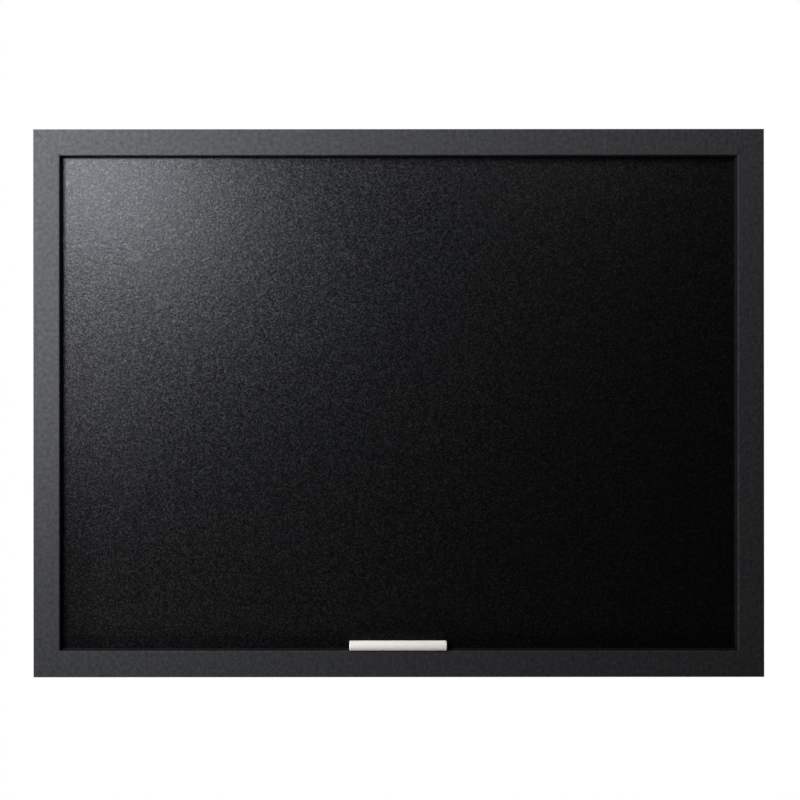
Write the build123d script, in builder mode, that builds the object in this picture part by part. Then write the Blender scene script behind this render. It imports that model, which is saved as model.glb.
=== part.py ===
from build123d import *
from math import cos, radians, sin, tan
import os

# A wall chalkboard: a mitred moulding frame round a recessed writing panel, hung by two rings.
# Millimetres. +X to the right, +Y towards the wall and +Z up, seen from the writer's side.
# The origin is where the left wall hook bears, under the crown of the left hanger ring.

os.makedirs("parts", exist_ok=True)

# Frame moulding
frame_width = 600
frame_height = 450
frame_depth = 15
rail_face = 21.5
rabbet_width = 6.5
recess_depth = 6
inner_arris = 1
outer_arris = 0.5

# Corner nails, two in each mitre, driven in from the back
nail_leg = 4.5
nail_thickness = 0.5
nail_depth = 8
nail_place_shares = (0.2, 0.55)

# Writing panel, in three layers
sheet_thickness = 0.6
core_thickness = 3.2
backing_thickness = 0.3
panel_gap = 1

# Retaining points, driven into the rabbet wall to hold the panel
point_width = 6
point_thickness = 0.5
point_lap = 8
point_drive = 7
point_tip = 3
point_margin = 60
point_clear = 20
long_rail_points = 4
side_rail_points = 3

# Hanger ring, bent from round wire, with its butt joint hidden in the strap
wire_diameter = 1.8
ring_corner = 1.6
ring_leg = 1.5
ring_joint = 0.3

# Hanger strap, a strip folded round the ring's bar
strap_width = 8
strip_thickness = 0.7
strip_fold_gap = 0.1
strap_end_round = 2
strap_end_margin = 2
fold_slope = 45
wire_clearance = 0.08
ring_side_clearance = 0.4
hanger_drop = 40

# Hanger screw
screw_diameter = 3
screw_length = 12
screw_tip = 2.5
screw_hole_clearance = 0.1
pilot_clearance = 0.05
head_diameter = 5.6
head_height = 1.7
head_rim = 0.7
head_clearance = 0.4
cross_span = 3
cross_width = 0.7
cross_depth = 1.1

# Wall pads on the lower ends of the side rails
pad_diameter = 10
pad_edge_round = 0.6
pad_rise = 26
wall_clearance = 0.64

# Chalk stick, lying on the ledge of the bottom rail
chalk_diameter = 7.8
chalk_length = 80
chalk_end_round = 0.7
chalk_seat_gap = 0.1
chalk_back_gap = 0.6
chalk_offset = -0.6

# Radii and spans that follow
wire_radius = wire_diameter / 2
eye_radius = wire_radius + wire_clearance
fold_radius = eye_radius + strip_thickness
crown_radius = strap_width / 2 + ring_side_clearance + ring_corner
ring_height = ring_corner + ring_leg + crown_radius
strap_height = 2 * strip_thickness + strip_fold_gap
screw_radius = screw_diameter / 2
head_radius = head_diameter / 2
chalk_radius = chalk_diameter / 2

# Planes across the depth, from the face to the wall
back_y = -fold_radius
face_y = back_y - frame_depth
sheet_y = face_y + recess_depth
core_y = sheet_y + sheet_thickness
backing_y = core_y + core_thickness
panel_back_y = backing_y + backing_thickness
strap_back_y = back_y + strap_height
wall_y = back_y + 2 * fold_radius + wall_clearance

# Places across the width and the height
land = rail_face - rabbet_width
hook_spacing = frame_width - land
frame_left = -land / 2
frame_right = frame_left + frame_width
frame_top = hanger_drop
frame_bottom = frame_top - frame_height
center_x = frame_left + frame_width / 2
center_z = frame_bottom + frame_height / 2
opening_left = frame_left + rail_face
opening_right = frame_right - rail_face
opening_bottom = frame_bottom + rail_face
bar_z = wire_radius - ring_height
screw_z = bar_z - ring_height - wire_radius - head_clearance - head_radius
strap_end_z = screw_z - head_radius - strap_end_margin
panel_width = frame_width - 2 * land - 2 * panel_gap
panel_height = frame_height - 2 * land - 2 * panel_gap


def facing(y):
    """The upright plane at depth y that faces the writer."""
    return Plane.XZ.offset(-y)


def spread(first, last, count):
    """Even places from first to last, both included."""
    step = (last - first) / max(count - 1, 1)
    return [first + step * i for i in range(count)]


def nail_outlines(corner_x, corner_z, right, up):
    """Both corner nails of one mitre, from behind: angles that open towards the panel."""
    with BuildSketch() as outlines:
        for share in nail_place_shares:
            x = corner_x + right * share * land
            z = corner_z + up * share * land
            with BuildLine():
                Polyline(
                    (x, z),
                    (x + right * nail_leg, z),
                    (x + right * nail_leg, z + up * nail_thickness),
                    (x + right * nail_thickness, z + up * nail_thickness),
                    (x + right * nail_thickness, z + up * nail_leg),
                    (x, z + up * nail_leg),
                    close=True,
                )
            make_face()
    return outlines.sketch


def point_outlines(places, outward):
    """Retaining points that cross the rabbet wall at these places, each with its tip outward."""
    reach = Vector(outward.X, outward.Z)
    half = Vector(outward.Z, outward.X) * (point_width / 2)
    stem = reach * (point_drive - point_tip)
    with BuildSketch() as outlines:
        for place in places:
            crossing = Vector(place)
            with BuildLine():
                Polyline(
                    crossing - reach * point_lap - half,
                    crossing + stem - half,
                    crossing + reach * point_drive,
                    crossing + stem + half,
                    crossing - reach * point_lap + half,
                    close=True,
                )
            make_face()
    return outlines.sketch


# Corner nails: one node for each mitre
corners = {
    "top_left": (frame_left, frame_top, 1, -1),
    "top_right": (frame_right, frame_top, -1, -1),
    "bottom_left": (frame_left, frame_bottom, 1, 1),
    "bottom_right": (frame_right, frame_bottom, -1, 1),
}
for name, corner in corners.items():
    with BuildPart() as corner_nails:
        with BuildSketch(facing(back_y)):
            add(nail_outlines(*corner))
        extrude(amount=nail_depth)
    corner_nails.part.label = f"corner_nails_{name}"
    export_step(corner_nails.part, f"parts/corner_nails_{name}.step")

# Rails and the retaining points driven into them. Each rail runs along its length from its
# start corner, so its section has the outer edge at x = 0 and the face at y = 0.
point_xs = spread(opening_left + point_margin, opening_right - point_margin, long_rail_points)
point_zs = spread(opening_bottom + point_margin, strap_end_z - point_clear, side_rail_points)
rails = {
    "top": {
        "start": Vector(frame_left, face_y, frame_top),
        "inward": Vector(0, 0, -1),
        "along": Vector(1, 0, 0),
        "length": frame_width,
        "corners": ("top_left", "top_right"),
        "points": [(x, frame_top - land) for x in point_xs],
    },
    "bottom": {
        "start": Vector(frame_right, face_y, frame_bottom),
        "inward": Vector(0, 0, 1),
        "along": Vector(-1, 0, 0),
        "length": frame_width,
        "corners": ("bottom_left", "bottom_right"),
        "points": [(x, frame_bottom + land) for x in point_xs],
    },
    "left": {
        "start": Vector(frame_left, face_y, frame_bottom),
        "inward": Vector(1, 0, 0),
        "along": Vector(0, 0, 1),
        "length": frame_height,
        "corners": ("bottom_left", "top_left"),
        "points": [(frame_left + land, z) for z in point_zs],
    },
    "right": {
        "start": Vector(frame_right, face_y, frame_top),
        "inward": Vector(-1, 0, 0),
        "along": Vector(0, 0, -1),
        "length": frame_height,
        "corners": ("bottom_right", "top_right"),
        "points": [(frame_right - land, z) for z in point_zs],
    },
}
hanger_xs = {"left": 0, "right": hook_spacing}
for name, rail in rails.items():
    inward = rail["inward"]
    along = rail["along"]
    with BuildPart() as retaining_points:
        with BuildSketch(facing(panel_back_y + point_thickness)):
            add(point_outlines(rail["points"], -inward))
        extrude(amount=point_thickness)
    retaining_points.part.label = f"retaining_points_{name}"
    export_step(retaining_points.part, f"parts/retaining_points_{name}.step")

    with BuildPart() as frame_rail:
        # The moulding: a lip that frames the panel and a land behind it, with eased front edges
        with BuildSketch(Plane(origin=rail["start"], x_dir=inward, z_dir=along)):
            Rectangle(rail_face, recess_depth, align=(Align.MIN, Align.MIN))
            Rectangle(land, frame_depth, align=(Align.MIN, Align.MIN))
            fillet(vertices().group_by(Axis.Y)[0].sort_by(Axis.X)[-1], inner_arris)
            fillet(vertices().group_by(Axis.Y)[0].sort_by(Axis.X)[0], outer_arris)
        extrude(amount=rail["length"])
        # Mitres at both ends
        end = rail["start"] + along * rail["length"]
        split(bisect_by=Plane(origin=rail["start"], z_dir=along - inward), keep=Keep.TOP)
        split(bisect_by=Plane(origin=end, z_dir=-along - inward), keep=Keep.TOP)
        # Seats that the corner nails and the retaining points have pressed
        with BuildSketch(facing(back_y)):
            for corner in rail["corners"]:
                add(nail_outlines(*corners[corner]))
        extrude(amount=nail_depth, mode=Mode.SUBTRACT)
        with BuildSketch(facing(panel_back_y + point_thickness)):
            add(point_outlines(rail["points"], -inward))
        extrude(amount=point_thickness, mode=Mode.SUBTRACT)
        # Pilot hole of the hanger screw, in the side rails alone
        if name in hanger_xs:
            with Locations(Plane(origin=(hanger_xs[name], back_y, screw_z), z_dir=(0, 1, 0))):
                Hole(screw_radius + pilot_clearance, screw_length - strap_height + pilot_clearance)
    frame_rail.part.label = f"rail_{name}"
    export_step(frame_rail.part, f"parts/rail_{name}.step")

# Writing panel: the chalk surface, its core and the paper that balances it
layers = {
    "writing_sheet": (core_y, sheet_thickness),
    "panel_core": (backing_y, core_thickness),
    "backing_paper": (panel_back_y, backing_thickness),
}
for name, (rear_y, thickness) in layers.items():
    with BuildPart() as layer:
        with BuildSketch(facing(rear_y)):
            with Locations((center_x, center_z)):
                Rectangle(panel_width, panel_height)
        extrude(amount=thickness)
    layer.part.label = name
    export_step(layer.part, f"parts/{name}.step")

# Hangers: a folded strap, the ring in its fold and the screw through it, on each side rail
for name, x in hanger_xs.items():
    # The strap's section across its fold, with the bar's axis at the middle of the fold
    slope = radians(fold_slope)
    outer_turn = Vector(fold_radius * cos(slope), bar_z - fold_radius * sin(slope))
    inner_turn = Vector(eye_radius * cos(slope), bar_z - eye_radius * sin(slope))
    layer_y = back_y + strip_thickness + strip_fold_gap
    outer_foot = Vector(strap_back_y, outer_turn.Y - (outer_turn.X - strap_back_y) / tan(slope))
    inner_foot = Vector(layer_y, inner_turn.Y - (inner_turn.X - layer_y) / tan(slope))
    with BuildPart() as hanger_strap:
        with BuildSketch(Plane.YZ.offset(x - strap_width / 2)):
            with BuildLine():
                Line((back_y, strap_end_z), (back_y, bar_z))
                ThreePointArc((back_y, bar_z), (0, bar_z + fold_radius), outer_turn)
                Polyline(
                    outer_turn,
                    outer_foot,
                    (strap_back_y, strap_end_z),
                    (layer_y, strap_end_z),
                    inner_foot,
                    inner_turn,
                )
                ThreePointArc(inner_turn, (0, bar_z + eye_radius), (-eye_radius, bar_z))
                Polyline(
                    (-eye_radius, bar_z),
                    (-eye_radius, strap_end_z),
                    (back_y, strap_end_z),
                )
            make_face()
        extrude(amount=strap_width)
        fillet(edges().filter_by(Axis.Y).group_by(Axis.Z)[0], strap_end_round)
        with Locations(Plane(origin=(x, strap_back_y, screw_z), z_dir=(0, 1, 0))):
            Hole(screw_radius + screw_hole_clearance, strap_height)
    hanger_strap.part.label = f"hanger_strap_{name}"
    export_step(hanger_strap.part, f"parts/hanger_strap_{name}.step")

    with BuildPart() as hanger_ring:
        bar_end = strap_width / 2 + ring_side_clearance
        leg_foot_z = bar_z + ring_corner
        leg_head_z = leg_foot_z + ring_leg
        with BuildLine(Plane.XZ) as ring_path:
            Line((x + ring_joint / 2, bar_z), (x + bar_end, bar_z))
            TangentArc((x + bar_end, bar_z), (x + crown_radius, leg_foot_z), tangent=(1, 0))
            Line((x + crown_radius, leg_foot_z), (x + crown_radius, leg_head_z))
            ThreePointArc((x + crown_radius, leg_head_z), (x, wire_radius), (x - crown_radius, leg_head_z))
            Line((x - crown_radius, leg_head_z), (x - crown_radius, leg_foot_z))
            TangentArc((x - crown_radius, leg_foot_z), (x - bar_end, bar_z), tangent=(0, -1))
            Line((x - bar_end, bar_z), (x - ring_joint / 2, bar_z))
        with BuildSketch(Plane(origin=ring_path.line @ 0, z_dir=ring_path.line % 0)):
            Circle(wire_radius)
        sweep(path=ring_path.line)
    hanger_ring.part.label = f"hanger_ring_{name}"
    export_step(hanger_ring.part, f"parts/hanger_ring_{name}.step")

    with BuildPart() as hanger_screw:
        # Half of the section, then the cross in the head
        with BuildSketch(Plane(origin=(x, strap_back_y, screw_z), z_dir=(0, 0, 1))):
            with BuildLine():
                TangentArc((0, head_height), (head_radius, head_rim), tangent=(1, 0))
                Polyline(
                    (0, head_height),
                    (0, -screw_length),
                    (screw_radius, screw_tip - screw_length),
                    (screw_radius, 0),
                    (head_radius, 0),
                    (head_radius, head_rim),
                )
            make_face()
        revolve(axis=Axis((x, strap_back_y, screw_z), (0, 1, 0)))
        with BuildSketch(facing(strap_back_y + head_height)):
            with Locations((x, screw_z)):
                Rectangle(cross_span, cross_width)
                Rectangle(cross_width, cross_span)
        extrude(amount=cross_depth, mode=Mode.SUBTRACT)
    hanger_screw.part.label = f"hanger_screw_{name}"
    export_step(hanger_screw.part, f"parts/hanger_screw_{name}.step")

    # Wall pad below the hanger, as thick as the hanger needs to clear the wall
    with BuildPart() as wall_pad:
        with BuildSketch(facing(wall_y)):
            with Locations((x, frame_bottom + pad_rise)):
                Circle(pad_diameter / 2)
        extrude(amount=wall_y - back_y)
        fillet(edges().sort_by(Axis.Y)[-1], pad_edge_round)
    wall_pad.part.label = f"wall_pad_{name}"
    export_step(wall_pad.part, f"parts/wall_pad_{name}.step")

# Chalk stick
chalk_left = center_x + chalk_offset - chalk_length / 2
chalk_y = sheet_y - chalk_back_gap - chalk_radius
chalk_z = opening_bottom + chalk_seat_gap + chalk_radius
with BuildPart() as chalk_stick:
    with BuildSketch(Plane(origin=(chalk_left, chalk_y, chalk_z), z_dir=(1, 0, 0))):
        Circle(chalk_radius)
    extrude(amount=chalk_length)
    fillet(edges().filter_by(GeomType.CIRCLE), chalk_end_round)
chalk_stick.part.label = "chalk_stick"
export_step(chalk_stick.part, "parts/chalk_stick.step")
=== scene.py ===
"""Looks of a wall chalkboard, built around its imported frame. Metres, +X right, +Y to the wall, +Z up."""
import logging
import math
from collections.abc import Callable
from dataclasses import dataclass
from enum import Enum

import bpy
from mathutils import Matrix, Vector


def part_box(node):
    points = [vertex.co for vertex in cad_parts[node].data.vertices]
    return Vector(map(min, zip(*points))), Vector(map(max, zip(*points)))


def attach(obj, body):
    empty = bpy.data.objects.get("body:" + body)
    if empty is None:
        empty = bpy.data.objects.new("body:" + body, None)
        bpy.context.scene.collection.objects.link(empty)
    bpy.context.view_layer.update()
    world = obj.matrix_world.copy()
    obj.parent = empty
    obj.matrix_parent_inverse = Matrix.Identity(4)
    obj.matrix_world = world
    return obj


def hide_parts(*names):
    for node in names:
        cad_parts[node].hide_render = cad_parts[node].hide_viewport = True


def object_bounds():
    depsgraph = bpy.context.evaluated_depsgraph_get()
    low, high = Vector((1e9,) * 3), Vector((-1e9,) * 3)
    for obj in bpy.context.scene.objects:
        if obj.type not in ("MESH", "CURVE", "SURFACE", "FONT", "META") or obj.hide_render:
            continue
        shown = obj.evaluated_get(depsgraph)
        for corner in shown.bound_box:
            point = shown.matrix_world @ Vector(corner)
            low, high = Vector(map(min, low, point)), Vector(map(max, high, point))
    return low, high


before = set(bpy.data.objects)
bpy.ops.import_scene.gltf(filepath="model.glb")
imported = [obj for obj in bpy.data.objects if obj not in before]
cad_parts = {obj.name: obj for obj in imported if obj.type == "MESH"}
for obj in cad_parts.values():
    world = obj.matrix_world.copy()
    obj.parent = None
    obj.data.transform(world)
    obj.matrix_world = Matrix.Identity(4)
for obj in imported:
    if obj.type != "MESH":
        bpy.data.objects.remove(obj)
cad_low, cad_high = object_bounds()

MM = 0.001
QUARTER_TURN = math.pi / 2
HALF_TURN = math.pi
WHITE = (1.0, 1.0, 1.0)
NUMBER = "NodeSocketFloat"
VECTOR = "NodeSocketVector"

Node = bpy.types.Node
Socket = bpy.types.NodeSocket
Triple = tuple[float, float, float]
Operator = Callable[..., set[str]]
Step = tuple[Operator, dict[str, object]]

log = logging.getLogger("chalkboard")


class Axis(Enum):
    """The axes that pieces' ends lie across, as places in a point's coordinates."""

    X = 0
    Y = 1


class Side(Enum):
    """The two sides of the board that carry a hanger and a wall pad."""

    LEFT = "left"
    RIGHT = "right"


class Edge(Enum):
    """The four sides of the frame."""

    TOP = "top"
    BOTTOM = "bottom"
    LEFT = "left"
    RIGHT = "right"


class Corner(Enum):
    """The four mitres of the frame."""

    TOP_LEFT = "top_left"
    TOP_RIGHT = "top_right"
    BOTTOM_LEFT = "bottom_left"
    BOTTOM_RIGHT = "bottom_right"


class Body(Enum):
    """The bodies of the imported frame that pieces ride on."""

    BOARD = "board"
    RING_LEFT = "ring_left"
    RING_RIGHT = "ring_right"
    CHALK = "chalk"


INWARD = {
    Edge.TOP: Vector((0, 0, -1)),
    Edge.BOTTOM: Vector((0, 0, 1)),
    Edge.LEFT: Vector((1, 0, 0)),
    Edge.RIGHT: Vector((-1, 0, 0)),
}
RING_BODIES = {Side.LEFT: Body.RING_LEFT, Side.RIGHT: Body.RING_RIGHT}


# Node graphs


class Graph:
    """A shader node tree with short calls that add and join nodes."""

    def __init__(self, tree: bpy.types.NodeTree) -> None:
        """Start on a tree."""
        self.tree = tree

    def add(self, kind: str, **settings: object) -> Node:
        """Add a node.

        Args:
            kind: The node's type name.
            settings: Properties of the node and their values.

        Returns:
            The new node.
        """
        node = self.tree.nodes.new(kind)
        for name, value in settings.items():
            setattr(node, name, value)
        return node

    def join(self, source: Socket, node: Node, name: str) -> None:
        """Link an output to a node's input of that name."""
        self.tree.links.new(source, node.inputs[name])

    def fill(self, socket: Socket, value: object) -> None:
        """Set a socket's value, or link another node's output to it.

        Args:
            socket: The socket.
            value: A number, a vector or an output.
        """
        if isinstance(value, Socket):
            self.tree.links.new(value, socket)
        else:
            socket.default_value = value

    def feed(self, node: Node, **inputs: object) -> None:
        """Fill a node's inputs with values or with other nodes' outputs.

        Args:
            node: The node to fill.
            inputs: Input names in lower case with _ for a space, and what each takes.
        """
        sockets = {s.name.lower().replace(" ", "_"): s for s in node.inputs if s.enabled}
        for name, value in inputs.items():
            self.fill(sockets[name], value)

    def combine(self, operation: str, first: object, second: object, clamp: bool = False) -> Socket:
        """Add a Math node with two operands.

        Args:
            operation: The node's operation, such as MULTIPLY.
            first: A number or an output.
            second: A number or an output.
            clamp: Whether the result is held between 0 and 1.

        Returns:
            The node's output.
        """
        node = self.add("ShaderNodeMath", operation=operation, use_clamp=clamp)
        self.fill(node.inputs[0], first)
        self.fill(node.inputs[1], second)
        return node.outputs[0]

    def span(self, value: Socket, low: float, high: float) -> Socket:
        """Spread a factor from 0 to 1 over a range.

        Args:
            value: The factor.
            low: The result at 0.
            high: The result at 1.

        Returns:
            The output that holds the result.
        """
        node = self.add("ShaderNodeMapRange")
        self.feed(node, value=value, to_min=low, to_max=high)
        return node.outputs["Result"]

    def swing(self, value: Socket, middle: float, reach: float) -> Socket:
        """Spread a factor from 0 to 1 to both sides of a middle."""
        return self.span(value, middle - reach, middle + reach)

    def blend(self, factor: Socket, first: Triple, second: Triple) -> Socket:
        """Mix two colours by a factor.

        Args:
            factor: 0 for the first colour, 1 for the second.
            first: Red, green and blue.
            second: Red, green and blue.

        Returns:
            The output that holds the colour.
        """
        node = self.add("ShaderNodeMix", data_type="RGBA")
        self.join(factor, node, "Factor")
        node.inputs["A"].default_value = (*first, 1)
        node.inputs["B"].default_value = (*second, 1)
        return node.outputs["Result"]

    def noise(self, vector: Socket, scale: Socket, detail: float, roughness: float) -> Socket:
        """Add a cloudy noise.

        Args:
            vector: The coordinates.
            scale: How many clouds there are to a metre.
            detail: How many finer layers it has.
            roughness: How strong each finer layer is.

        Returns:
            The factor, from 0 to 1.
        """
        node = self.add("ShaderNodeTexNoise")
        self.feed(node, vector=vector, scale=scale, detail=detail, roughness=roughness)
        return node.outputs["Fac"]


class Effect:
    """A shader node group that several finishes share, built once."""

    name: str
    inputs: dict[str, str]
    output: str = "Factor"

    def tree(self) -> bpy.types.NodeTree:
        """Build the group, or find it.

        Returns:
            The group's node tree.
        """
        found = bpy.data.node_groups.get(self.name)
        if found:
            return found
        tree = bpy.data.node_groups.new(self.name, "ShaderNodeTree")
        for label, kind in self.inputs.items():
            tree.interface.new_socket(label, in_out="INPUT", socket_type=kind)
        tree.interface.new_socket(self.output, in_out="OUTPUT", socket_type=NUMBER)
        graph = Graph(tree)
        entry = graph.add("NodeGroupInput")
        result = self.work(graph, entry)
        graph.join(result, graph.add("NodeGroupOutput"), self.output)
        return tree

    def work(self, graph: Graph, entry: Node) -> Socket:
        """Add the group's own nodes after its input node, and give the output that leaves it."""
        raise NotImplementedError


class Grain(Effect):
    """Small bumps of two sizes, as on sprayed lacquer, foil and moulded rubber."""

    name = "fine_grain"
    inputs = {"Vector": VECTOR, "Scale": NUMBER, "Finer": NUMBER}
    output = "Height"
    finer_step: float = 2.3
    detail: float = 1.0
    roughness: float = 0.5

    def work(self, graph: Graph, entry: Node) -> Socket:
        """Add two noises, the finer one at its own share.

        Args:
            graph: The group's graph.
            entry: The group's input node.

        Returns:
            The height.
        """
        vector, scale = entry.outputs["Vector"], entry.outputs["Scale"]
        finer_scale = graph.combine("MULTIPLY", scale, self.finer_step)
        broad = graph.noise(vector, scale, self.detail, self.roughness)
        fine = graph.noise(vector, finer_scale, self.detail, self.roughness)
        return graph.combine("ADD", broad, graph.combine("MULTIPLY", fine, entry.outputs["Finer"]))


class Mottle(Effect):
    """Soft cloudy patches for a colour or a gloss that isn't quite even."""

    name = "soft_mottle"
    inputs = {"Vector": VECTOR, "Scale": NUMBER, "Contrast": NUMBER}
    middle: float = 0.5
    detail: float = 4.0
    roughness: float = 0.55

    def work(self, graph: Graph, entry: Node) -> Socket:
        """Stretch a noise about its middle.

        Args:
            graph: The group's graph.
            entry: The group's input node.

        Returns:
            The factor, from 0 to 1.
        """
        noise = graph.noise(entry.outputs["Vector"], entry.outputs["Scale"], self.detail, self.roughness)
        centred = graph.combine("SUBTRACT", noise, self.middle)
        stretched = graph.combine("MULTIPLY", centred, entry.outputs["Contrast"])
        return graph.combine("ADD", stretched, self.middle, clamp=True)


class Lines(Effect):
    """Fine streaks along one direction, as in drawn wire, rolled strip and paper."""

    name = "fine_lines"
    inputs = {"Vector": VECTOR, "Scale": NUMBER, "Along": VECTOR}
    detail: float = 3.0
    roughness: float = 0.6

    def work(self, graph: Graph, entry: Node) -> Socket:
        """Squeeze the coordinates along the lines and read a noise.

        Args:
            graph: The group's graph.
            entry: The group's input node.

        Returns:
            The factor, from 0 to 1.
        """
        squeeze = graph.add("ShaderNodeVectorMath", operation="MULTIPLY")
        graph.fill(squeeze.inputs[0], entry.outputs["Vector"])
        graph.fill(squeeze.inputs[1], entry.outputs["Along"])
        return graph.noise(squeeze.outputs[0], entry.outputs["Scale"], self.detail, self.roughness)


class Pits(Effect):
    """Scattered small round hollows, as in pressed chalk and fibreboard."""

    name = "small_pits"
    inputs = {"Vector": VECTOR, "Scale": NUMBER, "Size": NUMBER}

    def work(self, graph: Graph, entry: Node) -> Socket:
        """Read the distance to scattered points, up to a size.

        Args:
            graph: The group's graph.
            entry: The group's input node.

        Returns:
            0 in the middle of a pit and 1 outside it.
        """
        cells = graph.add("ShaderNodeTexVoronoi")
        graph.feed(cells, vector=entry.outputs["Vector"], scale=entry.outputs["Scale"], randomness=1.0)
        rim = graph.add("ShaderNodeMapRange", interpolation_type="SMOOTHSTEP")
        graph.feed(rim, value=cells.outputs["Distance"], from_min=0.0, from_max=entry.outputs["Size"])
        return rim.outputs["Result"]


class Surface(Graph):
    """A material's nodes: its shader, its Object coordinates and what finishes join to them."""

    def __init__(self, material: bpy.types.Material) -> None:
        """Start on a new material.

        Args:
            material: The material.
        """
        material.use_nodes = True
        super().__init__(material.node_tree)
        self.skin = self.tree.nodes["Principled BSDF"]
        self.place = self.add("ShaderNodeTexCoord").outputs["Object"]

    def lay(self, effect: Effect, **inputs: object) -> Socket:
        """Put a shared effect into the material with its own values.

        Args:
            effect: The effect.
            inputs: Its inputs, as feed takes them.

        Returns:
            The effect's output.
        """
        node = self.add("ShaderNodeGroup", node_tree=effect.tree())
        self.feed(node, vector=self.place, **inputs)
        return node.outputs[effect.output]

    def colour(self, factor: Socket, first: Triple, second: Triple) -> None:
        """Blend the base colour from the first to the second by a factor."""
        self.join(self.blend(factor, first, second), self.skin, "Base Color")

    def relief(self, height: Socket, depth: float) -> None:
        """Raise the surface by a height.

        Args:
            height: The height, where 1 is the full depth.
            depth: The full depth in metres.
        """
        bump = self.add("ShaderNodeBump")
        self.feed(bump, strength=1.0, distance=depth, height=height)
        self.join(bump.outputs["Normal"], self.skin, "Normal")


# Finishes


@dataclass(frozen=True, kw_only=True)
class Finish:
    """What every finish has: a name, a gloss and how its nodes are laid out."""

    name: str
    roughness: float
    specular: float
    gleam: Triple = WHITE

    def paint(self, face: Surface) -> None:
        """Join the finish's own nodes to the surface's shader."""
        raise NotImplementedError

    def material(self) -> bpy.types.Material:
        """Build the material, or find it.

        Returns:
            The material.
        """
        found = bpy.data.materials.get(self.name)
        if found:
            return found
        made = bpy.data.materials.new(self.name)
        face = Surface(made)
        face.skin.inputs["Roughness"].default_value = self.roughness
        face.skin.inputs["Specular IOR Level"].default_value = self.specular
        face.skin.inputs["Specular Tint"].default_value = (*self.gleam, 1)
        self.paint(face)
        return made


@dataclass(frozen=True, kw_only=True)
class GrainedFinish(Finish):
    """A matt finish: soft patches of tone, and of gloss where it has a spread, under an even grain."""

    dark: Triple
    light: Triple
    patch_scale: float
    patch_contrast: float = 2.0
    gloss_spread: float = 0.0
    grain_scale: float
    grain_finer: float = 0.4
    grain_depth: float

    def paint(self, face: Surface) -> None:
        """Join the patches and the grain.

        Args:
            face: The surface's nodes.
        """
        patches = face.lay(Mottle(), scale=self.patch_scale, contrast=self.patch_contrast)
        face.colour(patches, self.dark, self.light)
        if self.gloss_spread:
            gloss = face.swing(patches, self.roughness, self.gloss_spread)
            face.join(gloss, face.skin, "Roughness")
        face.relief(face.lay(Grain(), scale=self.grain_scale, finer=self.grain_finer), self.grain_depth)


@dataclass(frozen=True, kw_only=True)
class CharcoalFoil(GrainedFinish):
    """Matt charcoal foil wrapped round the frame moulding, with a faint pebbled grain."""

    name: str = "charcoal_foil"
    roughness: float = 0.87
    specular: float = 0.18
    gleam: Triple = (0.99, 0.985, 1.0)
    dark: Triple = (0.0158, 0.0160, 0.0170)
    light: Triple = (0.0372, 0.0376, 0.0396)
    patch_scale: float = 300.0
    patch_contrast: float = 2.2
    gloss_spread: float = 0.05
    grain_scale: float = 420.0
    grain_depth: float = 0.40 * MM


@dataclass(frozen=True, kw_only=True)
class RecessShadeAndJointBlack(GrainedFinish):
    """Painted shade: a near-black matt on the frame's inner recess walls so they read as shaded, also used
    on the dark mitre cut faces where the rails meet.
    """

    name: str = "recess_black"
    roughness: float = 0.85
    specular: float = 0.16
    # Near-black painted shade, far darker than the foil.
    dark: Triple = (0.0030, 0.0031, 0.0034)
    light: Triple = (0.0046, 0.0047, 0.0051)
    patch_scale: float = 300.0
    grain_scale: float = 900.0
    grain_depth: float = 0.10 * MM


@dataclass(frozen=True, kw_only=True)
class PadRubber(GrainedFinish):
    """Soft matt black rubber with a dusty bloom and a moulded grain."""

    name: str = "pad_rubber_matt"
    roughness: float = 0.78
    specular: float = 0.35
    dark: Triple = (0.030, 0.030, 0.031)
    light: Triple = (0.052, 0.052, 0.053)
    patch_scale: float = 500.0
    grain_scale: float = 2600.0
    grain_finer: float = 0.5
    grain_depth: float = 0.02 * MM


@dataclass(frozen=True, kw_only=True)
class WritingLacquer(Finish):
    """Black writing lacquer with the fine tooth that takes the chalk."""

    name: str = "writing_lacquer"
    roughness: float = 0.515
    specular: float = 0.090
    gleam: Triple = (0.94, 0.94, 1.0)
    dark: Triple = (0.0023, 0.0024, 0.0026)
    light: Triple = (0.0029, 0.0030, 0.0033)
    speck_scale: float = 980.0
    speck_contrast: float = 3.4
    speck_power: float = 2.2
    speck_spread: float = 0.145
    patch_scale: float = 300.0
    patch_contrast: float = 2.0
    patch_spread: float = 0.030
    coat_middle: float = 0.60
    coat_swing: float = 0.34
    coat_roughness: float = 0.53
    tooth_scale: float = 600.0
    tooth_finer: float = 0.50
    tooth_depth: float = 0.26 * MM

    def paint(self, face: Surface) -> None:
        """Join the specks where the clear coat lies thick, wide patches of gloss and the tooth.

        Args:
            face: The surface's nodes.
        """
        cloud = face.lay(Mottle(), scale=self.speck_scale, contrast=self.speck_contrast)
        specks = face.combine("POWER", cloud, self.speck_power)
        patches = face.lay(Mottle(), scale=self.patch_scale, contrast=self.patch_contrast)
        fine_gloss = face.swing(specks, self.roughness, self.speck_spread)
        wide_gloss = face.swing(patches, 0, self.patch_spread)
        thickness = face.swing(patches, self.coat_middle, self.coat_swing)
        face.colour(specks, self.dark, self.light)
        face.join(face.combine("ADD", fine_gloss, wide_gloss), face.skin, "Roughness")
        face.join(face.combine("MULTIPLY", specks, thickness), face.skin, "Coat Weight")
        face.skin.inputs["Coat Roughness"].default_value = self.coat_roughness
        face.relief(face.lay(Grain(), scale=self.tooth_scale, finer=self.tooth_finer), self.tooth_depth)


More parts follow.
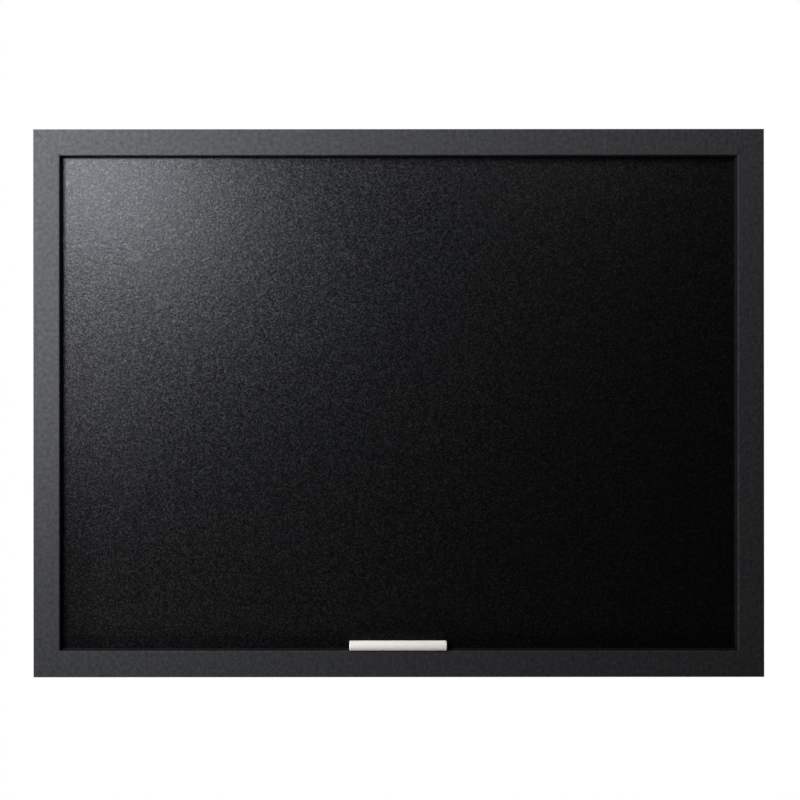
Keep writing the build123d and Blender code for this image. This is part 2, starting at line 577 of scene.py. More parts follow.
@dataclass(frozen=True, kw_only=True)
class FibreBoard(Finish):
    """Pressed brown fibre, seen on the cut edges of the panel's core."""

    name: str = "pressed_fibre"
    roughness: float = 0.85
    specular: float = 0.3
    dark: Triple = (0.22, 0.145, 0.085)
    light: Triple = (0.36, 0.25, 0.155)
    fibre_scale: float = 1500.0
    fibre_along: Triple = (0.12, 1.0, 0.12)
    pore_scale: float = 1400.0
    pore_size: float = 0.4
    depth: float = 0.06 * MM

    def paint(self, face: Surface) -> None:
        """Join layers of fibres and open pores.

        Args:
            face: The surface's nodes.
        """
        fibres = face.lay(Lines(), scale=self.fibre_scale, along=self.fibre_along)
        pores = face.lay(Pits(), scale=self.pore_scale, size=self.pore_size)
        tone = face.combine("MULTIPLY", fibres, pores)
        face.colour(tone, self.dark, self.light)
        face.relief(tone, self.depth)


@dataclass(frozen=True, kw_only=True)
class KraftPaper(Finish):
    """Brown kraft paper laid on the panel's back."""

    name: str = "kraft_paper"
    roughness: float = 0.82
    specular: float = 0.3
    dark: Triple = (0.33, 0.235, 0.145)
    light: Triple = (0.47, 0.35, 0.225)
    pulp_scale: float = 75.0
    pulp_contrast: float = 1.6
    pulp_share: tuple[float, float] = (0.1, 0.6)
    fibre_scale: float = 1300.0
    fibre_along: Triple = (0.1, 1.0, 1.0)
    fibre_share: tuple[float, float] = (-0.2, 0.5)
    fibre_depth: float = 0.03 * MM
    speck_scale: float = 260.0
    speck_size: float = 0.16

    def paint(self, face: Surface) -> None:
        """Join cloudy pulp, long fibres, small specks and a faint tooth.

        Args:
            face: The surface's nodes.
        """
        pulp = face.lay(Mottle(), scale=self.pulp_scale, contrast=self.pulp_contrast)
        fibres = face.lay(Lines(), scale=self.fibre_scale, along=self.fibre_along)
        specks = face.lay(Pits(), scale=self.speck_scale, size=self.speck_size)
        felt = face.combine("ADD", face.span(pulp, *self.pulp_share), face.span(fibres, *self.fibre_share))
        face.colour(face.combine("MULTIPLY", felt, specks), self.dark, self.light)
        face.relief(fibres, self.fibre_depth)


@dataclass(frozen=True, kw_only=True)
class PlatedSteel(Finish):
    """Steel with a thin bright plating, dulled in patches, with the marks of its drawing or rolling."""

    name: str = "zinc_plate"
    roughness: float = 0.34
    specular: float = 0.5
    bright: Triple = (0.66, 0.67, 0.69)
    dull: Triple = (0.50, 0.51, 0.53)
    dulled_scale: float = 420.0
    dulled_contrast: float = 2.4
    dulled_gloss: tuple[float, float] = (-0.07, 0.09)
    along: Triple = (1.0, 1.0, 0.05)
    line_scale: float = 5200.0
    line_gloss: tuple[float, float] = (-0.05, 0.05)
    line_depth: float = 0.004 * MM

    def paint(self, face: Surface) -> None:
        """Join dulled patches and fine lines.

        Args:
            face: The surface's nodes.
        """
        face.skin.inputs["Metallic"].default_value = 1.0
        dulled = face.lay(Mottle(), scale=self.dulled_scale, contrast=self.dulled_contrast)
        lines = face.lay(Lines(), scale=self.line_scale, along=self.along)
        smoothest, roughest = (self.roughness + change for change in self.dulled_gloss)
        wide_gloss = face.span(dulled, smoothest, roughest)
        gloss = face.combine("ADD", wide_gloss, face.span(lines, *self.line_gloss))
        face.colour(dulled, self.bright, self.dull)
        face.join(gloss, face.skin, "Roughness")
        face.relief(lines, self.line_depth)


@dataclass(frozen=True, kw_only=True)
class PressedChalk(Finish):
    """Dry off-white pressed chalk: powdery, with faint streaks along the stick and open pores."""

    name: str = "pressed_chalk"
    roughness: float = 0.95
    specular: float = 0.15
    shade: Triple = (0.800, 0.750, 0.690)
    light: Triple = (0.860, 0.812, 0.756)
    streak_scale: float = 1400.0
    streak_along: Triple = (0.06, 1.0, 1.0)
    streak_share: tuple[float, float] = (0.1, 1.1)
    pore_scale: float = 1100.0
    pore_size: float = 0.22
    pore_share: tuple[float, float] = (0.35, 1.0)
    powder_scale: float = 3000.0
    powder_finer: float = 0.6
    powder_share: tuple[float, float] = (0.0, 0.5)
    depth: float = 0.03 * MM

    def paint(self, face: Surface) -> None:
        """Join streaks, pores and a powdery relief.

        Args:
            face: The surface's nodes.
        """
        streaks = face.lay(Lines(), scale=self.streak_scale, along=self.streak_along)
        pores = face.lay(Pits(), scale=self.pore_scale, size=self.pore_size)
        powder = face.lay(Grain(), scale=self.powder_scale, finer=self.powder_finer)
        streaky = face.span(streaks, *self.streak_share)
        tone = face.combine("MULTIPLY", streaky, face.span(pores, *self.pore_share))
        face.colour(tone, self.shade, self.light)
        face.relief(face.combine("ADD", pores, face.span(powder, *self.powder_share)), self.depth)


FOIL = CharcoalFoil()
# Painted shade for the recess walls, and the dark mitre joints.
RECESS_SHADE_AND_JOINTS = RecessShadeAndJointBlack()
LACQUER = WritingLacquer()
FIBRE = FibreBoard()
KRAFT = KraftPaper()
STRAP_ZINC = PlatedSteel(name="zinc_strip")
RING_ZINC = PlatedSteel(name="zinc_wire", roughness=0.27, along=(0.4, 1.0, 0.4), line_depth=0.002 * MM)
SCREW_ZINC = PlatedSteel(
    name="zinc_screw",
    roughness=0.3,
    bright=(0.68, 0.67, 0.62),
    dull=(0.55, 0.53, 0.46),
)
NAIL_STEEL = PlatedSteel(
    name="plain_nail_steel",
    roughness=0.42,
    bright=(0.46, 0.47, 0.49),
    dull=(0.33, 0.33, 0.34),
    along=(1.0, 0.05, 1.0),
)
POINT_STEEL = PlatedSteel(
    name="plain_point_steel",
    roughness=0.38,
    bright=(0.50, 0.51, 0.53),
    dull=(0.36, 0.36, 0.38),
    along=(0.3, 1.0, 1.0),
)
RUBBER = PadRubber()
CHALK = PressedChalk()


# The bench: how a mesh is started, shaped and handed over


def pulled(x: float = 0.0, y: float = 0.0, z: float = 0.0) -> Step:
    """Pull what is selected straight, with walls behind it."""
    return bpy.ops.mesh.extrude_region_move, {"TRANSFORM_OT_translate": {"value": (x, y, z)}}


def spun(steps: int, angle: float, centre: Triple) -> Step:
    """Bend what is selected round a line along Y through a centre, with walls behind it."""
    settings = {"steps": steps, "angle": angle, "center": centre, "axis": (0, 1, 0), "dupli": False}
    return bpy.ops.mesh.spin, settings


def inset(thickness: float, depth: float = 0.0) -> Step:
    """Draw the selected faces in by a thickness, and out by a depth."""
    return bpy.ops.mesh.inset, {"thickness": thickness, "depth": depth, "use_even_offset": False}


def rounded(width: float, segments: int) -> Step:
    """Round the selected edges over a width."""
    return bpy.ops.mesh.bevel, {"offset": width, "segments": segments, "affect": "EDGES"}


def lies_at(axis: Axis, at: float, within: float) -> Callable[[Vector, Vector], bool]:
    """Make a test of whether both ends of an edge lie at one place along an axis."""
    return lambda first, second: max(abs(first[axis.value] - at), abs(second[axis.value] - at)) < within


class Workpiece:
    """A mesh on the bench, shaped step by step with edit operators."""

    weld: float = 0.002 * MM
    flat_degrees: float = 0.5
    bevel_degrees: float = 40.0
    bevel_segments: int = 2
    smooth_degrees: float = 35.0
    normal_weight: int = 80

    def __init__(self, thing: bpy.types.Object) -> None:
        """Take an object onto the bench."""
        self.thing = thing
        self.take()

    @classmethod
    def start(cls, name: str, primitive: Operator, **settings: object) -> "Workpiece":
        """Start from a primitive at its size and place.

        Args:
            name: The piece's name.
            primitive: The operator that adds it.
            settings: The operator's own settings.

        Returns:
            The new workpiece, its place already in its mesh.
        """
        bpy.ops.object.select_all(action="DESELECT")
        primitive(**settings)
        piece = cls(bpy.context.object)
        piece.thing.name = piece.thing.data.name = name
        bpy.ops.object.transform_apply(location=True, rotation=True, scale=True)
        return piece

    @classmethod
    def from_node(cls, node: str, name: str, arris: float) -> "Workpiece":
        """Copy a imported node, merge its loose triangles, make its flats whole and ease its edges.

        Args:
            node: The node's name.
            name: The piece's name.
            arris: The width of the rounding at its edges.

        Returns:
            The new workpiece.
        """
        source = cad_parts[node]
        copy = bpy.data.objects.new(name, source.data.copy())
        copy.data.name = name
        bpy.context.scene.collection.objects.link(copy)
        piece = cls(copy)
        bpy.ops.mesh.customdata_custom_splitnormals_clear()
        piece.merge()
        piece.edit_all(bpy.ops.mesh.dissolve_limited, angle_limit=math.radians(cls.flat_degrees))
        piece.bevel(arris)
        piece.smooth()
        piece.modify("WEIGHTED_NORMAL", keep_sharp=True, weight=cls.normal_weight)
        return piece

    def take(self) -> None:
        """Make this the only selected and the active object."""
        bpy.ops.object.select_all(action="DESELECT")
        self.thing.select_set(True)
        bpy.context.view_layer.objects.active = self.thing

    def pick(
        self,
        faces: Callable[[bpy.types.MeshPolygon], bool] | None = None,
        edges: Callable[[Vector, Vector], bool] | None = None,
    ) -> None:
        """Select faces or edges by a test and drop all else.

        Args:
            faces: A test of a face.
            edges: A test of an edge's two ends.
        """
        mesh = self.thing.data
        for group in (mesh.polygons, mesh.edges, mesh.vertices):
            group.foreach_set("select", [False] * len(group))
        bpy.context.tool_settings.mesh_select_mode = (False, edges is not None, faces is not None)
        if faces:
            for face in mesh.polygons:
                face.select = faces(face)
        if edges:
            spots = [v.co for v in mesh.vertices]
            for edge in mesh.edges:
                first, second = edge.vertices
                edge.select = edges(spots[first], spots[second])

    def edit(self, *steps: Step) -> None:
        """Run edit operators on what is selected.

        Args:
            steps: Operators, each with its settings.
        """
        bpy.ops.object.mode_set(mode="EDIT")
        for operator, settings in steps:
            operator(**settings)
        bpy.ops.object.mode_set(mode="OBJECT")

    def edit_all(self, operator: Operator, **settings: object) -> None:
        """Run one edit operator, with its settings, on the whole mesh."""
        self.take()
        self.edit((bpy.ops.mesh.select_all, {"action": "SELECT"}), (operator, settings))

    def merge(self) -> None:
        """Merge points that lie on one another."""
        self.edit_all(bpy.ops.mesh.remove_doubles, threshold=self.weld)

    def face_out(self) -> None:
        """Turn all faces outwards."""
        self.edit_all(bpy.ops.mesh.normals_make_consistent, inside=False)

    def modify(self, kind: str, **settings: object) -> None:
        """Add a modifier and apply it.

        Args:
            kind: The modifier's type.
            settings: Its settings.
        """
        self.take()
        modifier = self.thing.modifiers.new(kind.lower(), kind)
        for name, value in settings.items():
            setattr(modifier, name, value)
        bpy.ops.object.modifier_apply(modifier=modifier.name)

    def bevel(self, width: float) -> None:
        """Round every sharp edge over a width.

        Args:
            width: The width of the rounding.
        """
        self.modify(
            "BEVEL",
            width=width,
            segments=self.bevel_segments,
            limit_method="ANGLE",
            angle_limit=math.radians(self.bevel_degrees),
        )

    def smooth(self, degrees: float = smooth_degrees) -> None:
        """Shade smooth, but for edges sharper than an angle."""
        self.take()
        bpy.ops.object.shade_smooth_by_angle(angle=math.radians(degrees))

    def hand_over(self, body: Body, slot: str, finish: Finish, *nodes: str) -> bpy.types.Object:
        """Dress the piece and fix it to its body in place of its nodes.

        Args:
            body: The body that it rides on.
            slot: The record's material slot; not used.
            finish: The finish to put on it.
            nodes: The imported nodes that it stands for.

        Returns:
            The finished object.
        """
        self.thing.data.materials.clear()
        self.thing.data.materials.append(finish.material())
        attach(self.thing, body.value)
        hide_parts(*nodes)
        faces = len(self.thing.data.polygons)
        log.info("%s: %d faces on %s, %s", self.thing.name, faces, body.value, finish.name)
        return self.thing


# Sub-assemblies


@dataclass
class Moulding:
    """The four mitred rails of the frame, wrapped in charcoal foil, with near-black painted shade on their
    recess walls.
    """

    arris: float = 0.15 * MM
    wall_lean: float = 0.97
    cut_lean: float = 0.2

    def build(self) -> None:
        """Build the four rails."""
        sheet_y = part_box("writing_sheet")[0].y
        for edge, inward in INWARD.items():
            node = f"rail_{edge.value}"
            piece = Workpiece.from_node(node, f"moulding_{edge.value}", self.arris)
            rail = piece.hand_over(Body.BOARD, "frame_foil", FOIL, node)
            # Painted shade on the recess walls, dark joints on the mitre cuts.
            self.paint_recess_shade_and_joints(rail, inward, sheet_y)

    def paint_recess_shade_and_joints(self, rail: bpy.types.Object, inward: Vector, sheet_y: float) -> None:
        """Paint the recess walls near-black as painted shade, and give the mitre cut faces a dark joint
        black.

        Args:
            rail: The finished rail.
            inward: The direction from the rail to the middle of the board.
            sheet_y: Where the writing sheet begins.
        """
        along = Vector((0, 1, 0)).cross(inward)
        rail.data.materials.append(RECESS_SHADE_AND_JOINTS.material())
        for face in rail.data.polygons:
            # Recess walls get the near-black painted shade; mitre cut faces get the dark joint black.
            is_wall = face.center.y < sheet_y and face.normal.dot(inward) > self.wall_lean
            is_cut = abs(face.normal.dot(along)) > self.cut_lean
            if is_wall or is_cut:
                face.material_index = 1


@dataclass
class Fixings:
    """The corner nails and the retaining points that hold frame and panel together."""

    arris: float = 0.07 * MM

    def build(self) -> None:
        """Build the nails of each corner and the points of each rail."""
        for place in (corner.value for corner in Corner):
            self.build_set(f"corner_nails_{place}", f"nails_{place}", "nail_steel", NAIL_STEEL)
        for place in (edge.value for edge in Edge):
            self.build_set(f"retaining_points_{place}", f"points_{place}", "point_steel", POINT_STEEL)

    def build_set(self, node: str, name: str, slot: str, finish: Finish) -> None:
        """Build one corner's nails or one rail's points."""
        piece = Workpiece.from_node(node, name, self.arris)
        piece.hand_over(Body.BOARD, slot, finish, node)


@dataclass
class Panel:
    """The writing surface, its core and the paper on its back, which stay as they are packed."""

    layers: tuple[tuple[str, Finish], ...] = (
        ("writing_sheet", LACQUER),
        ("panel_core", FIBRE),
        ("backing_paper", KRAFT),
    )

    def build(self) -> None:
        """Give each layer its finish."""
        for node, finish in self.layers:
            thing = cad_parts[node]
            thing.data.materials.clear()
            thing.data.materials.append(finish.material())
            log.info("%s: kept, %s", node, finish.name)


@dataclass
class Hanger:
    """One hanger: a folded strap, the ring in its fold and the screw through it."""

    side: Side
    slot_turn_degrees: float
    strap_arris: float = 0.09 * MM
    wire_radius: float = 0.9 * MM
    wire_sides: int = 24
    corner_radius: float = 1.6 * MM
    corner_steps: int = 12
    crown_steps: int = 48
    leg: float = 1.5 * MM
    bar_half: float = 4.4 * MM
    joint: float = 0.3 * MM
    wire_smooth_degrees: float = 40.0
    head_radius: float = 2.8 * MM
    head_height: float = 1.7 * MM
    head_rim: float = 0.7 * MM
    head_sides: int = 48
    dome_steps: int = 6
    shank_radius: float = 1.5 * MM
    shank_length: float = 12 * MM
    tip_length: float = 2.5 * MM
    slot_length: float = 3.1 * MM
    slot_width: float = 0.75 * MM
    slot_depth: float = 1.1 * MM
    slot_taper: float = 0.45
    screw_arris: float = 0.05 * MM
    facing: float = 0.9

    def build(self) -> None:
        """Build the strap, the ring and the screw."""
        self.build_strap()
        self.build_ring()
        self.build_screw()

    def build_strap(self) -> None:
        """Ease the folded strip's edges."""
        node = f"hanger_strap_{self.side.value}"
        piece = Workpiece.from_node(node, f"strap_{self.side.value}", self.strap_arris)
        piece.hand_over(Body.BOARD, "strap_steel", STRAP_ZINC, node)

    def build_ring(self) -> None:
        """Bend the wire: out along the bar, up, over the crown and back to the joint."""
        node = f"hanger_ring_{self.side.value}"
        low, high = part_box(node)
        x = (low.x + high.x) / 2
        bar_z = low.z + self.wire_radius
        foot_z = bar_z + self.corner_radius
        head_z = foot_z + self.leg
        piece = Workpiece.start(
            f"ring_{self.side.value}_wire",
            bpy.ops.mesh.primitive_circle_add,
            vertices=self.wire_sides,
            radius=self.wire_radius,
            location=(x + self.joint / 2, 0, bar_z),
            rotation=(0, QUARTER_TURN, 0),
        )
        bar = self.bar_half - self.joint / 2
        piece.pick(edges=lambda first, second: True)
        piece.edit(
            pulled(x=bar),
            spun(self.corner_steps, QUARTER_TURN, (x + self.bar_half, 0, foot_z)),
            pulled(z=self.leg),
            spun(self.crown_steps, HALF_TURN, (x, 0, head_z)),
            pulled(z=-self.leg),
            spun(self.corner_steps, QUARTER_TURN, (x - self.bar_half, 0, foot_z)),
            pulled(x=bar),
        )
        for sign in (-1, 1):
            at_end = lies_at(Axis.X, x + sign * self.joint / 2, self.joint / 10)
            piece.pick(edges=lambda first, second: at_end(first, second) and first.z < foot_z)
            piece.edit((bpy.ops.mesh.edge_face_add, {}))
        piece.merge()
        piece.face_out()
        piece.smooth(self.wire_smooth_degrees)
        piece.hand_over(RING_BODIES[self.side], "ring_steel", RING_ZINC, node)

    def build_screw(self) -> None:
        """Turn the head and the shank from one disc, then sink the cross."""
        node = f"hanger_screw_{self.side.value}"
        low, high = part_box(node)
        x, z = (low.x + high.x) / 2, (low.z + high.z) / 2
        seat_y = high.y - self.head_height
        piece = Workpiece.start(
            f"screw_{self.side.value}",
            bpy.ops.mesh.primitive_cylinder_add,
            vertices=self.head_sides,
            radius=self.head_radius,
            depth=self.head_rim,
            location=(x, seat_y + self.head_rim / 2, z),
            rotation=(QUARTER_TURN, 0, 0),
        )
        piece.pick(faces=lambda face: face.normal.y > self.facing)
        piece.edit(*self.dome())
        piece.pick(faces=lambda face: face.normal.y < -self.facing)
        piece.edit(
            inset(self.head_radius - self.shank_radius),
            pulled(y=self.tip_length - self.shank_length),
            pulled(y=-self.tip_length),
            (bpy.ops.mesh.merge, {"type": "CENTER"}),
        )
        piece.face_out()
        self.sink_cross(piece, Vector((x, high.y, z)))
        piece.bevel(self.screw_arris)
        piece.smooth()
        piece.hand_over(Body.BOARD, "screw_steel", SCREW_ZINC, node)

    def dome(self) -> list[Step]:
        """Work out the insets that raise the head's rim to a part of a ball.

        Returns:
            The edit steps.
        """
        rise = self.head_height - self.head_rim
        ball = (self.head_radius**2 + rise**2) / (2 * rise)
        reach = math.asin(self.head_radius / ball)
        angles = [reach * (1 - step / self.dome_steps) for step in range(self.dome_steps)]
        return [
            inset(ball * (math.sin(outer) - math.sin(inner)), ball * (math.cos(inner) - math.cos(outer)))
            for outer, inner in zip(angles, angles[1:])
        ]

    def sink_cross(self, piece: Workpiece, top: Vector) -> None:
        """Cut two tapered slots across the head.

        Args:
            piece: The screw.
            top: The middle of the head's top.
        """
        for turn in (0, QUARTER_TURN):
            cutter = Workpiece.start(
                "cross_cutter",
                bpy.ops.mesh.primitive_cube_add,
                size=1,
                scale=(self.slot_length, 2 * self.slot_depth, self.slot_width),
                location=top,
                rotation=(0, turn + math.radians(self.slot_turn_degrees), 0),
            )
            bottom_y = top.y - self.slot_depth
            cutter.pick(faces=lambda face: abs(face.center.y - bottom_y) < self.slot_depth / 4)
            cutter.edit((bpy.ops.transform.resize, {"value": (self.slot_taper, 1, self.slot_taper)}))
            piece.modify("BOOLEAN", operation="DIFFERENCE", solver="EXACT", object=cutter.thing)
            bpy.data.objects.remove(cutter.thing)


@dataclass
class WallPad:
    """One moulded rubber pad that keeps the hung board upright."""

    side: Side
    sides: int = 64
    rim_round: float = 0.6 * MM
    rim_segments: int = 6
    foot_round: float = 0.15 * MM
    foot_segments: int = 2
    land_width: float = 1.1 * MM
    dish_depth: float = 0.25 * MM
    dish_slope: float = 0.35 * MM
    gate_radius: float = 0.7 * MM
    gate_height: float = 0.12 * MM
    facing: float = 0.99

    def build(self) -> None:
        """Turn the pad, round its rim, dish its face and leave the mark of its mould."""
        node = f"wall_pad_{self.side.value}"
        low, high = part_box(node)
        radius = (high.x - low.x) / 2
        piece = Workpiece.start(
            f"pad_{self.side.value}",
            bpy.ops.mesh.primitive_cylinder_add,
            vertices=self.sides,
            radius=radius,
            depth=high.y - low.y,
            location=(low + high) / 2,
            rotation=(QUARTER_TURN, 0, 0),
        )
        rims = ((high.y, self.rim_round, self.rim_segments), (low.y, self.foot_round, self.foot_segments))
        for y, width, segments in rims:
            piece.pick(edges=lies_at(Axis.Y, y, self.foot_round / 10))
            piece.edit(rounded(width, segments))
        flat = radius - self.rim_round - self.land_width
        slope = self.dish_slope
        piece.pick(faces=lambda face: face.normal.y > self.facing and len(face.vertices) == self.sides)
        piece.edit(
            inset(self.land_width),
            inset(slope, -self.dish_depth),
            inset(flat - slope - self.gate_radius),
            inset(slope / 4, self.gate_height),
            (bpy.ops.mesh.poke, {}),
        )
        piece.face_out()
        piece.smooth()
        piece.hand_over(Body.BOARD, "pad_rubber", RUBBER, node)


@dataclass
class ChalkStick:
    """The round chalk stick on the ledge, its ends softened by handling."""

    sides: int = 72
    rings: int = 180
    end_round: float = 0.75 * MM
    end_segments: int = 6
    cap_rings: int = 5
    flush: float = 0.01 * MM
    skin: float = 0.06 * MM
    skin_size: float = 0.9 * MM
    dent: float = 0.10 * MM
    dent_size: float = 5 * MM
    cloud_layers: int = 2
    smooth_degrees: float = 60.0

    def build(self) -> None:
        """Mould the stick, then roughen it without leaving its own space."""
        node = "chalk_stick"
        low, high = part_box(node)
        radius = (high.z - low.z) / 2
        length = high.x - low.x
        piece = Workpiece.start(
            "chalk",
            bpy.ops.mesh.primitive_cylinder_add,
            vertices=self.sides,
            radius=radius,
            depth=length,
            location=(low + high) / 2,
            rotation=(0, QUARTER_TURN, 0),
        )
        ring = (radius - self.end_round) / (self.cap_rings + 1)
        for x in (low.x, high.x):
            piece.pick(edges=lies_at(Axis.X, x, self.flush))
            piece.edit(rounded(self.end_round, self.end_segments))
            piece.pick(faces=lambda face: abs(face.center.x - x) < self.flush)
            piece.edit(*[inset(ring)] * self.cap_rings, (bpy.ops.mesh.poke, {}))
        piece.pick(edges=lambda first, second: abs(first.x - second.x) > length / 2)
        piece.edit((bpy.ops.mesh.subdivide, {"number_cuts": self.rings}))
        self.roughen(piece, "chalk_handling", self.dent_size, self.dent)
        self.roughen(piece, "chalk_powder", self.skin_size, self.skin)
        piece.face_out()
        piece.smooth(self.smooth_degrees)
        piece.hand_over(Body.CHALK, "chalk", CHALK, node)

    def roughen(self, piece: Workpiece, name: str, size: float, depth: float) -> None:
        """Press the surface in by a cloudy pattern.

        Args:
            piece: The stick.
            name: The pattern's name.
            size: The size of its clouds.
            depth: The deepest dent.
        """
        clouds = bpy.data.textures.new(name, "CLOUDS")
        clouds.noise_scale = size
        clouds.noise_depth = self.cloud_layers
        piece.modify("DISPLACE", texture=clouds, texture_coords="LOCAL", strength=depth, mid_level=1.0)


# The studio


@dataclass(frozen=True)
class PhotoCamera:
    """The camera of the photograph: square on and close, a little above and left of the board's middle."""

    distance: float = 580 * MM
    aside: float = -20 * MM
    above: float = 40 * MM
    image_px: float = 800.0
    frame_width_px: float = 731.2
    centre_px: tuple[float, float] = (398.70, 403.15)
    sensor_width: float = 36.0
    roll_degrees: float = 0.036
    nearest: float = 10 * MM

    def set_up(self, aim: Vector, frame_width: float) -> None:
        """Create the camera.

        Args:
            aim: The middle of the board's face.
            frame_width: The frame's real width.
        """
        view_width = frame_width * self.image_px / self.frame_width_px
        lens = bpy.data.cameras.new("photo_camera")
        lens.sensor_width = self.sensor_width
        lens.lens = self.sensor_width * self.distance / view_width
        lens.shift_x = (self.image_px / 2 - self.centre_px[0]) / self.image_px - self.aside / view_width
        lens.shift_y = (self.centre_px[1] - self.image_px / 2) / self.image_px - self.above / view_width
        lens.clip_start = self.nearest
        camera = bpy.data.objects.new("photo_camera", lens)
        camera.location = aim + Vector((self.aside, -self.distance, self.above))
        camera.rotation_euler = (QUARTER_TURN, math.radians(self.roll_degrees), 0)
        bpy.context.scene.collection.objects.link(camera)
        bpy.context.scene.camera = camera


@dataclass(frozen=True)
class Softbox:
    """One soft rectangular lamp, hung square to the wall or turned to the board."""

    name: str
    place: Triple
    size: tuple[float, float]
    watts: float
    colour: Triple = WHITE
    turned: bool = False

    def hang(self, aim: Vector) -> None:
        """Create the lamp.

        Args:
            aim: The middle of the board's face, from which its place is measured.
        """
        glow = bpy.data.lights.new(self.name, "AREA")
        glow.shape = "RECTANGLE"
        glow.size, glow.size_y = self.size
        glow.energy = self.watts
        glow.color = self.colour
        lamp = bpy.data.objects.new(self.name, glow)
        lamp.location = aim + Vector(self.place)
        way = -Vector(self.place) if self.turned else Vector((0, 1, 0))
        lamp.rotation_euler = way.to_track_quat("-Z", "Z").to_euler()
        lamp.visible_camera = False
        bpy.context.scene.collection.objects.link(lamp)


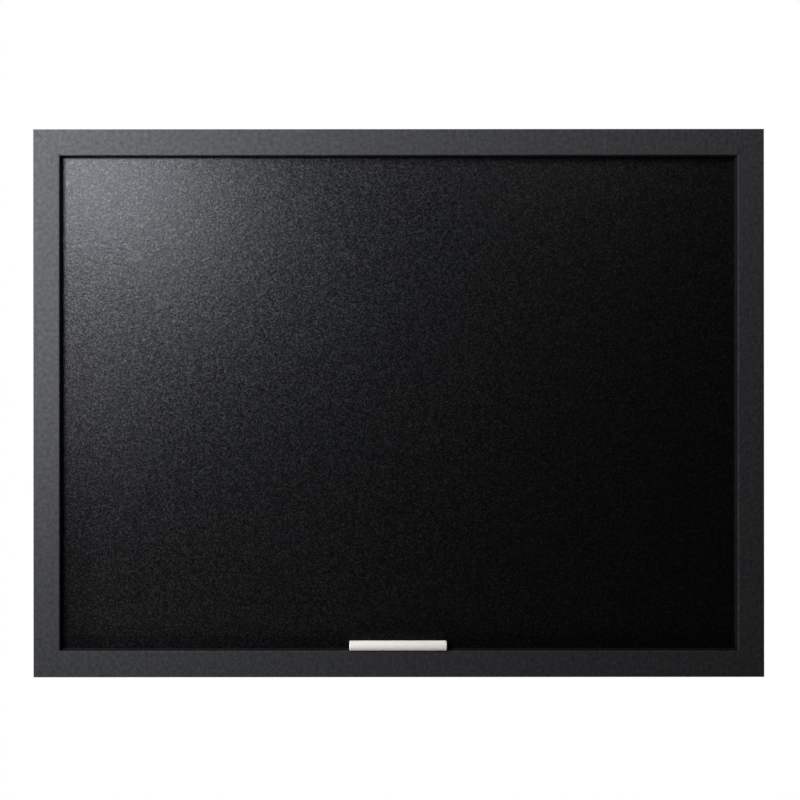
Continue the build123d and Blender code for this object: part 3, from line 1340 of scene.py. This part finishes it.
@dataclass
class Studio:
    """A plain pale floor, a white background and soft light from the upper left."""

    floor_drop: float = 1.4
    floor_front: float = -0.3
    floor_back: float = 1.5
    floor_half_width: float = 2.4
    floor_colour: Triple = (0.8, 0.8, 0.8)
    floor_roughness: float = 0.9
    floor_white_share: float = 0.75
    floor_fade: float = 0.8
    background_dim: float = 0.16
    background_turn: tuple[float, float] = (-0.05, 0.35)
    lamps: tuple[Softbox, ...] = (
        Softbox("key", (-0.438, -0.391, 0.294), (0.280, 0.138), 10.1, (0.93, 0.96, 1.0)),
        Softbox("side", (-0.447, -0.214, 0.015), (0.281, 0.139), 0.55),
        Softbox("left_graze", (-1.8, -0.35, -0.2), (0.6, 0.6), 65.0),
        Softbox("overhead", (0.052, -0.310, 0.717), (0.561, 0.674), 4.2),
        Softbox("low_fill", (-0.714, -0.502, -1.75), (1.094, 1.50), 29.0),
        Softbox("rear_left", (-1.3, 1.7, 1.0), (1.9, 1.9), 22.0, turned=True),
        Softbox("rear_right", (1.5, 1.6, 0.3), (1.5, 1.9), 11.0, turned=True),
    )

    def set_up(self) -> None:
        """Set up the view, the background, the floor, the lamps and the camera."""
        bpy.context.scene.view_settings.view_transform = "Standard"
        aim = Vector(((cad_low.x + cad_high.x) / 2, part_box("rail_top")[0].y, (cad_low.z + cad_high.z) / 2))
        self.lay_background()
        self.lay_floor(aim)
        for lamp in self.lamps:
            lamp.hang(aim)
        PhotoCamera().set_up(aim, cad_high.x - cad_low.x)

    def mirrored(self, graph: Graph, path: Node) -> Socket:
        """Tell the rays that reach the background by way of metal or glass from the others."""
        return graph.combine("MAXIMUM", path.outputs["Is Glossy Ray"], path.outputs["Is Transmission Ray"])

    def lay_background(self) -> None:
        """Make the world white where it is seen, and dark in the room in front of the board."""
        world = bpy.data.worlds.new("white_room")
        world.use_nodes = True
        bpy.context.scene.world = world
        graph = Graph(world.node_tree)
        sky = world.node_tree.nodes["Background"]
        parts = graph.add("ShaderNodeSeparateXYZ")
        graph.fill(parts.inputs[0], graph.add("ShaderNodeTexCoord").outputs["Generated"])
        behind = graph.add("ShaderNodeMapRange", interpolation_type="SMOOTHSTEP")
        dark_y, bright_y = self.background_turn
        graph.feed(behind, value=parts.outputs["Y"], from_min=dark_y, from_max=bright_y)
        path = graph.add("ShaderNodeLightPath")
        level = graph.span(self.mirrored(graph, path), self.background_dim, 1.0)
        room = graph.combine("MULTIPLY", behind.outputs["Result"], level)
        graph.join(graph.combine("MAXIMUM", room, path.outputs["Is Camera Ray"]), sky, "Strength")
        sky.inputs["Color"].default_value = (*WHITE, 1)

    def whiten(self, graph: Graph, floor: bpy.types.Object) -> Socket:
        """Let the floor's edges fade into the white background.

        Args:
            graph: The floor material's graph.
            floor: The floor.

        Returns:
            The share of white, full at the floor's edges.
        """
        corners = [v.co for v in floor.data.vertices]
        low = Vector([min(c[i] for c in corners) for i in range(3)])
        high = Vector([max(c[i] for c in corners) for i in range(3)])
        half, middle = (high - low) / 2, (high + low) / 2
        centred = graph.add("ShaderNodeMapping")
        graph.feed(
            centred,
            vector=graph.add("ShaderNodeTexCoord").outputs["Object"],
            location=(-middle.x / half.x, -middle.y / half.y, 0),
            scale=(1 / half.x, 1 / half.y, 0),
        )
        fade = graph.add("ShaderNodeTexGradient", gradient_type="SPHERICAL")
        graph.feed(fade, vector=centred.outputs["Vector"])
        near = graph.add("ShaderNodeMapRange", interpolation_type="SMOOTHSTEP")
        share = self.floor_white_share
        graph.feed(near, value=fade.outputs["Fac"], from_max=self.floor_fade, to_min=1.0, to_max=share)
        return near.outputs["Result"]

    def lay_floor(self, aim: Vector) -> None:
        """Lay the floor well below the hung board.

        Args:
            aim: The middle of the board's face.
        """
        depth = self.floor_back - self.floor_front
        floor = Workpiece.start(
            "floor",
            bpy.ops.mesh.primitive_plane_add,
            size=1,
            location=(aim.x, (self.floor_back + self.floor_front) / 2, aim.z - self.floor_drop),
        )
        floor.edit_all(bpy.ops.transform.resize, value=(2 * self.floor_half_width, depth, 1))
        paper = bpy.data.materials.new("studio_paper")
        paper.use_nodes = True
        graph = Graph(paper.node_tree)
        skin = paper.node_tree.nodes["Principled BSDF"]
        skin.inputs["Base Color"].default_value = (*self.floor_colour, 1)
        skin.inputs["Roughness"].default_value = self.floor_roughness
        glow = graph.add("ShaderNodeEmission")
        path = graph.add("ShaderNodeLightPath")
        seen = graph.combine("MAXIMUM", path.outputs["Is Camera Ray"], self.mirrored(graph, path))
        mix = graph.add("ShaderNodeMixShader")
        graph.fill(mix.inputs[0], graph.combine("MULTIPLY", seen, self.whiten(graph, floor.thing)))
        graph.fill(mix.inputs[1], skin.outputs[0])
        graph.fill(mix.inputs[2], glow.outputs[0])
        graph.join(mix.outputs[0], paper.node_tree.nodes["Material Output"], "Surface")
        floor.thing.data.materials.append(paper)


def main() -> None:
    """Build the board's pieces in order and set up the studio."""
    logging.basicConfig(level=logging.INFO, format="%(name)s: %(message)s")
    Moulding().build()
    Panel().build()
    Fixings().build()
    Hanger(Side.LEFT, slot_turn_degrees=-17).build()
    Hanger(Side.RIGHT, slot_turn_degrees=31).build()
    for side in Side:
        WallPad(side).build()
    ChalkStick().build()
    Studio().set_up()


if __name__ == "__main__":
    main()
